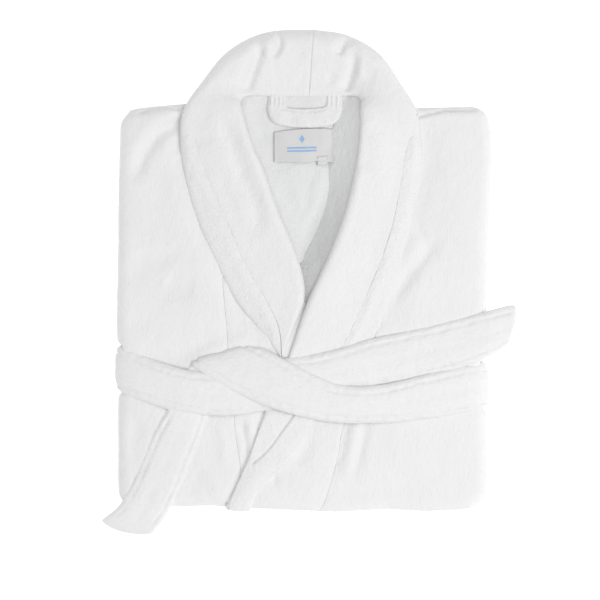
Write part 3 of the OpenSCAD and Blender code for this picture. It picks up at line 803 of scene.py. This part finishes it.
# Height and thickness of the collar along its roll and its free edge, from the belt to the crown.
ROLL_Z = [66, 67, 69, 70, 71, 71, 71, 69, 62, 56, 54, 53]
EDGE_Z = [61.5, 60.6, 60.2, 60.2, 60.2, 60.2, 60, 58.2, 56, 54.5, 53.5, 53]
ROLL_T = [6, 10, 15, 15, 15, 15, 15, 16, 15, 11, 9, 9]
EDGE_T = [5, 7, 10, 10, 10, 10, 11, 18, 28, 34, 34, 34]
COLLAR_STROKES = [
    # left of the neck, up to the crown
    ([(-41, 278), (-48, 258), (-55, 240), (-61, 222)], 5.5, -5.6, 0.2),
    ([(-28, 287), (-24, 279), (-26, 270), (-34, 261)], 3.6, -5.0, 0.22),
    ([(-38, 284), (-36, 272), (-40, 262)], 6.0, 3.6),
    ([(-58, 272), (-66, 252), (-72, 232)], 9, 2.0),
    ([(-18, 284), (-6, 270), (4, 262)], 9, -1.2, 0.35),
    # right of the neck
    ([(38, 264), (41, 272), (47, 279), (58, 283)], 4.4, -5.2, 0.2),
    ([(58, 270), (54, 252), (48, 236), (44, 226)], 5.6, -5.2, 0.22),
    ([(63, 272), (61, 254), (62, 236)], 6, 2.2),
    ([(28, 250), (31, 242), (33, 236)], 5, -1.6, 0.35),
    # the seam at the centre of the back
    ([(12.3, 293), (10, 262), (7.5, 228)], 1.1, -0.5, 0.05),
    # down the left lapel
    ([(-84, 205), (-72, 172), (-60, 138), (-48, 108), (-43, 72)], 10, -4.4, 0.2),
    ([(-100, 212), (-104, 190), (-98, 168)], 13, -1.6),
    ([(-100, 150), (-86, 116), (-72, 84), (-52, 50)], 6, 1.2, 0.25),
    # down the right lapel
    ([(64, 196), (66, 168), (62, 140)], 7, -2.0),
    ([(82, 190), (84, 150), (78, 108)], 12, 1.2),
    ([(92, 70), (80, 30), (66, -6)], 5, 0.9),
    ([(60, 60), (48, 24), (34, -8)], 14, -1.0, 0.35),
]


def collar_folds(p):
    return add_strokes(0.0, p[..., 0], p[..., 1], COLLAR_STROKES)


def collar_relief(lapel):
    """A lapel sinks a little at its upper end, and the part behind the neck where it starts."""
    def relief(s, x, width, p):
        sink = smooth((p[..., 1] - 192) / 12) if lapel else 1 - smooth(s / 12)
        lumps = pile(p, 51) + 0.7 * noise(p, 34, 57)
        return collar_folds(p) + lumps - 1.3 * sink
    return relief


def puffed_relief(s, x, width, p):
    """The band is stuffed with its own turnings, so it puckers and swells beside the seam."""
    puff = 1.3 * bell(x - 8, 7) * smooth(width / 14)
    waves = np.sin(s / 1.9 + 2.2 * noise(p, 16, 56)) * (0.5 + 0.5 * noise(p, 30, 57))
    return 0.6 * collar_folds(p) + puff + 0.5 * bell(x, 6) * waves + pile(p, 52, 1.35)


def raised(line, heights):
    return [(x, y, z) for (x, y), z in zip(line, heights)]


def at_seam(inner, seam, outer, first, last):
    """Height or thickness at the seam, between its values at the two edges."""
    values = []
    for a, at, b, v, w in zip(inner, seam, outer, first, last):
        values.append(mix(v, w, smooth(math.dist(at, a) / max(math.dist(b, a), 1e-6))))
    return values


def collar_half(side, inner, seam, outer):
    """A lapel and the band sewn along it. Gives the part behind the neck, as (points, faces)."""
    way = 1.0 if side == "left" else -1.0
    count = len(seam)
    seam_line = raised(seam, at_seam(inner, seam, outer, ROLL_Z, EDGE_Z))
    seam_t = at_seam(inner, seam, outer, ROLL_T, EDGE_T)
    roll, edge = raised(inner, ROLL_Z), raised(outer, EDGE_Z)
    points, faces = strap(roll[:count], seam_line, ROLL_T[:count], seam_t, 1.7, collar_relief(True),
                          outward=way, seams=(None, 0.6))
    lapel = make_mesh(f"collar_{side}_lapel", points, faces, COLLAR, "collar_plush")
    points, faces = strap(seam_line, edge[:count], seam_t, EDGE_T[:count], 1.5, puffed_relief,
                          outward=way, seams=(0.6, None), soft=(1.0, 2.2))
    band = make_mesh(f"collar_band_{side}_puffed", points, faces, BAND, "collar_plush",
                     replaces=(f"collar_band_{side}",))
    nape = slice(count - 2, None)
    return strap(roll[nape], edge[nape], ROLL_T[nape], EDGE_T[nape], 1.7, collar_relief(False),
                 outward=way, soft=(1.6, 1.0))


napes = {"left": collar_half("left", LEFT_INNER, LEFT_BAND, LEFT_OUTER),
         "right": collar_half("right", RIGHT_INNER, RIGHT_BAND, RIGHT_OUTER)}
for side, (points, faces) in napes.items():
    nape = make_mesh(f"collar_{side}_nape", points, faces, COLLAR, "collar_plush",
                     replaces=(f"collar_{side}",))

# ---- the hanger loop ----

HANGER_Z = node_box("hanger_loop")[0][2] + 2.6


def hanger_relief(s, x, width, p):
    ends = smooth((p[..., 1] - 208) / 9)
    pucker = 0.9 * np.cos(p[..., 0] * 2 * math.pi / 4.6 + 1.2 * noise(p, 20, 3)) * ends
    crease = -1.1 * bell(x - width + 2.6, 1.6) * (1 - ends)
    return pucker + crease + pile(p, 71, 1.3) + 0.8 * noise(p, 11, 72)


outer_line = [(-35.5, 225), (-36.5, 214), (-36, 205), (-31.5, 196), (-20, 191), (4, 189.5), (27, 191),
              (37, 196.5), (41.5, 205), (42.5, 214), (43, 225)]
inner_line = [(-17, 225), (-17.5, 217), (-17, 213), (-15, 211), (-10, 210), (4, 209.5), (18, 210.5),
              (23, 211.5), (25, 213.5), (25.5, 217), (25.5, 225)]
loop_z = [HANGER_Z + dz for dz in (-0.5, -0.2, 0.2, 0.6, 0.6, 0.4, 0.6, 0.6, 0.2, -0.2, -0.5)]
points, faces = strap(raised(outer_line, loop_z), raised(inner_line, loop_z), 7.5, 6, 1.1, hanger_relief)
loop = make_mesh("hanger_loop_strap", points, faces, LOOP, "loop_fabric", body="hanger",
                 replaces=("hanger_loop",))

# ---- the neck label ----


LABEL_LOW, LABEL_HIGH = node_box("neck_label")
LABEL_X, LABEL_Y = (LABEL_LOW + LABEL_HIGH)[:2] / 2
LABEL_W, LABEL_L = (LABEL_HIGH - LABEL_LOW)[:2]


def label_height(x, y):
    """The label follows the cloth, bowed up in its middle, with its lower right corner lifting."""
    u, v = (x - LABEL_X) / (LABEL_W / 2), (y - LABEL_Y) / (LABEL_L / 2)
    bow = 1.6 * (1 - u * u) + 0.5 * (1 - v * v)
    lift = 4.0 * smooth((u - 0.25) / 0.75) * smooth((-v + 0.1) / 1.1)
    wave = 0.7 * bell(u - 0.05, 0.3) * smooth(-v)
    return BACK_TOP + back_relief(x, y) + 1.0 + bow + lift + wave


def label_place(u, v):
    """u and v run from -1 to 1 over the label, which sits a little askew."""
    x = LABEL_X + u * (LABEL_W / 2 - 1.0)
    y = LABEL_Y + v * (LABEL_L / 2 - 1.0) + 2.0 * (1 - u * u) * (v > 0) * v + 1.8 * u * (0.5 + 0.5 * v)
    return x, y + 1.2 * bell(u - 0.45, 0.25) * smooth(-v) - 0.8 * bell(u, 0.4) * smooth(-v)


def label_piece(name, u_range, v_range, thick, above, material, outline=None, step=0.45, nodes=()):
    """A patch that follows the label, so far above its middle."""
    nu = max(int((u_range[1] - u_range[0]) * LABEL_W / 2 / step), 6)
    nv = max(int((v_range[1] - v_range[0]) * LABEL_L / 2 / step), 6)
    u, v = np.meshgrid(np.linspace(*u_range, nu), np.linspace(*v_range, nv))
    if outline is not None:
        u, v = outline(u, v)
    x, y = label_place(u, v)
    z = label_height(x, y) + above
    points, faces = shell(np.stack([x, y, z + thick / 2], -1), np.stack([x, y, z - thick / 2], -1))
    return make_mesh(name, points, faces, material, "label_satin", replaces=nodes)


label = label_piece("neck_label_satin", (-1, 1), (-1, 1), 0.5, 0.0, SATIN, step=0.8, nodes=("neck_label",))


def lozenge(u, v):
    """A plain lozenge, from a square patch of the label."""
    cu, cv, ru = -0.06, 0.42, 0.085
    return u, cv + (v - cv) * np.clip(1 - np.abs((u - cu) / ru), 0.04, 1)


label_piece("label_lozenge", (-0.145, 0.025), (0.17, 0.67), 0.25, 0.36, BLUE, outline=lozenge)
for row, v_range in enumerate([(-0.34, -0.24), (-0.14, -0.04)]):
    label_piece(f"label_bar_{row}", (-0.55, 0.42), v_range, 0.25, 0.36, BLUE)


def zigzag(name, u):
    """The zigzag stitching over one side of the label, as one thread."""
    count = 34
    k = np.arange(count * 2 + 1)
    v = np.linspace(-0.96, 0.96, len(k))
    x, y = label_place(u + np.where(k % 2, 0.022, -0.022), v)
    path = np.stack([x, y, label_height(x, y) + 0.42], -1)
    fine = spline_at(path, np.linspace(0, len(path) - 1, len(path) * 4))
    along = unit(np.gradient(fine, axis=0))
    side = unit(np.cross(along, [0, 0, 1.0]))
    up = np.cross(side, along)
    angle = np.arange(6) * math.pi / 3
    rings = fine[:, None] + 0.28 * (np.cos(angle)[None, :, None] * side[:, None]
                                    + np.sin(angle)[None, :, None] * up[:, None])
    return make_mesh(name, rings, flip(ring_faces(len(fine), 6)), STITCH, "label_satin")


zigzag("label_stitch_left", -0.965)
zigzag("label_stitch_right", 0.965)

TAB_LOW, TAB_HIGH = node_box("size_tab")


def size_tab():
    """The blank tab that hangs out below the label, a little askew."""
    across = np.linspace(TAB_LOW[0] + 2.0, TAB_HIGH[0] + 2.0, 12)
    x, y = np.meshgrid(across, np.linspace(TAB_LOW[1], TAB_HIGH[1] + 3, 10))
    y = y + 3.2 + (x - TAB_LOW[0]) / 11
    z = label_height(np.clip(x, None, LABEL_HIGH[0]), LABEL_LOW[1] + 1 + 0 * y)
    z = z - 1.0 - 0.25 * (TAB_HIGH[1] - y)
    points, faces = shell(np.stack([x, y, z + 0.25], -1), np.stack([x, y, z - 0.25], -1))
    tab = make_mesh("size_tab_satin", points, faces, SATIN, "label_satin", replaces=("size_tab",))


size_tab()

# ---- the layers folded behind ----


def layer_relief(seed):
    """The unevenness of a folded layer, which gives way below the hollow of the neck."""
    def relief(s, x, width, p):
        level = smooth((p[..., 2] - 18) / 6)
        lumps = pile(p, seed) + 0.8 * noise(p, 60, seed + 3)
        return lumps - 6.5 * level * hollow(p[..., 0], p[..., 1])
    return relief


def layer_under(s, x, width, p):
    return 6.5 * hollow(p[..., 0], p[..., 1])


def tuck_corners(points):
    """Rounds the corners of the folded layers, seen from above."""
    out = points.copy()
    for sx, sy, radius in ((-1, 1, 19), (1, 1, 14), (-1, -1, 12), (1, -1, 14)):
        cx = (SIDE_RIGHT if sx > 0 else -SIDE_LEFT) - sx * radius
        cy = (SHOULDER_Y if sy > 0 else -LOWER_Y) - sy * radius
        dx, dy = (out[:, 0] - cx) * sx, (out[:, 1] - cy) * sy
        share = np.where((dx > 0) & (dy > 0), np.maximum(dx, dy) / np.maximum(np.hypot(dx, dy), 1e-6), 1.0)
        out[:, 0] = np.where(share < 1, cx + sx * dx * share, out[:, 0])
        out[:, 1] = np.where(share < 1, cy + sy * dy * share, out[:, 1])
    return out


def slab(node, suffix, seed, step=4.2, thick=None, ends=(2.0, 2.0)):
    """A flat layer of cloth as wide and long as its CAD solid. A strip is of the belt loops' cloth."""
    strip = suffix == "strip"
    low, high = node_box(node)
    thick = thick or high[2] - low[2] - 0.4
    mid = (low[2] + high[2]) / 2
    ys = np.linspace(low[1], high[1], 9)
    left = [(low[0] + 0.6 * math.sin(y / 21 + seed), y, mid) for y in ys]
    right = [(high[0] + 0.6 * math.sin(y / 17 + 2 * seed), y, mid) for y in ys]
    points, faces = strap(left, right, thick, thick, step, layer_relief(seed), outward=-1.0,
                          under=layer_under if node.startswith("sleeve") else None, round_ends=ends)
    piece = make_mesh(f"{node}_{suffix}", tuck_corners(points), faces, LOOP if strip else BODY,
                      "loop_fabric" if strip else "robe_plush", replaces=(node,))


for side in ("left", "right"):
    slab(f"sleeve_{side}", "cloth", 101)
    slab(f"cuff_{side}", "cloth", 103)
    slab(f"belt_loop_{side}", "strip", 105, step=1.5, ends=(1, 1))

LEAF_T = 16.4


def under_skirt(s, x, width, p):
    """The underside lies flat on the table, and the belt presses into it."""
    top = np.interp(p[..., 0], [-190, 190], [-36, -49])
    low = np.interp(p[..., 0], [-190, 190], [-91, -110])
    inside = smooth((top - p[..., 1]) / 7 + 0.5) * smooth((p[..., 1] - low) / 7 + 0.5)
    return -5.0 * inside + 0.35 * noise(p, 14, 111) + 0.2 * noise(p, 5, 112)


def skirt_piece(node, path, seed, ends, under=None):
    """A leaf of the skirt as wide as the fold, along a path of (y, z)."""
    left = [(-SIDE_LEFT + 3.5 + 0.8 * math.sin(y / 31 + seed), y, z) for y, z in path]
    right = [(SIDE_RIGHT - 8.0 + 0.8 * math.sin(y / 27 + 2 * seed), y, z) for y, z in path]
    downward = path[-1][0] < path[0][0]
    points, faces = strap(left, right, LEAF_T, LEAF_T, 4.0, layer_relief(seed), under=under,
                          outward=1.0 if downward else -1.0, round_ends=ends)
    piece = make_mesh(f"{node}_cloth", tuck_corners(points), faces, BODY, "robe_plush", replaces=(node,))


MID_C = LEAF_T / 2 + 1.0
MID_B = SKIRT_TOP - LEAF_T / 2 - 0.6
TURN_R = (MID_B - MID_C) / 2
TURN_Y = SHOULDER_Y - TURN_R - LEAF_T / 2
HEM_Y = node_box("hem_band")[1][1]
turn = [(TURN_Y + TURN_R * math.sin(a), MID_C + TURN_R * (1 - math.cos(a)))
        for a in np.linspace(0, math.pi, 9)]


def leaf(start, stop, z, count=12):
    return [(y, z) for y in np.linspace(start, stop, count)]


skirt_piece("skirt_front_fold", leaf(-LOWER_Y + 20, TURN_Y - 12, MID_C) + turn[:8], 113, (4, 3),
            under=under_skirt)
skirt_piece("skirt_hem_fold", [turn[8]] + leaf(TURN_Y - 12, HEM_Y, MID_B), 117, (3, 2))
skirt_piece("hem_band", leaf(HEM_Y, -LOWER_Y + 10, MID_B, 5), 119, (2, 7))

for side in ("left", "right"):
    for part, seed in (("pocket", 121), ("pocket_hem", 123)):
        slab(f"{part}_{side}", "cloth", seed, step=2.4, thick=2.8, ends=(1.3, 1.3))

# ---- camera, light and floor ----

scene = bpy.context.scene
scene.view_settings.view_transform = "Standard"


def set_stage():
    camera = bpy.data.objects.new("camera", bpy.data.cameras.new("camera"))
    scene.collection.objects.link(camera)
    camera.data.lens = 180
    camera.data.sensor_width = 36
    centre = Vector((-0.0021, 0.0084, 0.06))
    camera.location = centre + Vector((0, 0, 0.630 * camera.data.lens / camera.data.sensor_width))
    scene.camera = camera

    world = bpy.data.worlds.new("studio")
    world.use_nodes = True
    fill(world.node_tree.nodes["Background"], {"Color": (1, 1, 1, 1), "Strength": 0.595})
    scene.world = world

    def lamp(name, location, target, size, power):
        data = bpy.data.lights.new(name, "AREA")
        data.shape = "RECTANGLE"
        data.size, data.size_y = size
        data.energy = power
        light = bpy.data.objects.new(name, data)
        light.location = location
        light.rotation_euler = (Vector(target) - light.location).to_track_quat("-Z", "Y").to_euler()
        scene.collection.objects.link(light)

    lamp("key", (1.0, -0.45, 2.2), (0, 0, 0.05), (2.2, 2.2), 39)
    lamp("fill", (-1.6, 0.1, 0.2), (-0.1, 0, 0.04), (1.4, 0.4), 2.4)

    floor_mesh = bpy.data.meshes.new("floor")
    s = 6.0
    floor_mesh.from_pydata([(-s, -s, 0), (s, -s, 0), (s, s, 0), (-s, s, 0)], [], [(0, 1, 2, 3)])
    floor = bpy.data.objects.new("floor", floor_mesh)
    scene.collection.objects.link(floor)
    material, shader = new_material("floor")
    fill(shader, {"Base Color": (0.9, 0.9, 0.9, 1), "Emission Color": (1, 1, 1, 1), "Emission Strength": 0.5,
                  "Roughness": 0.9, "Specular IOR Level": 0.1})
    floor_mesh.materials.append(material)


set_stage()
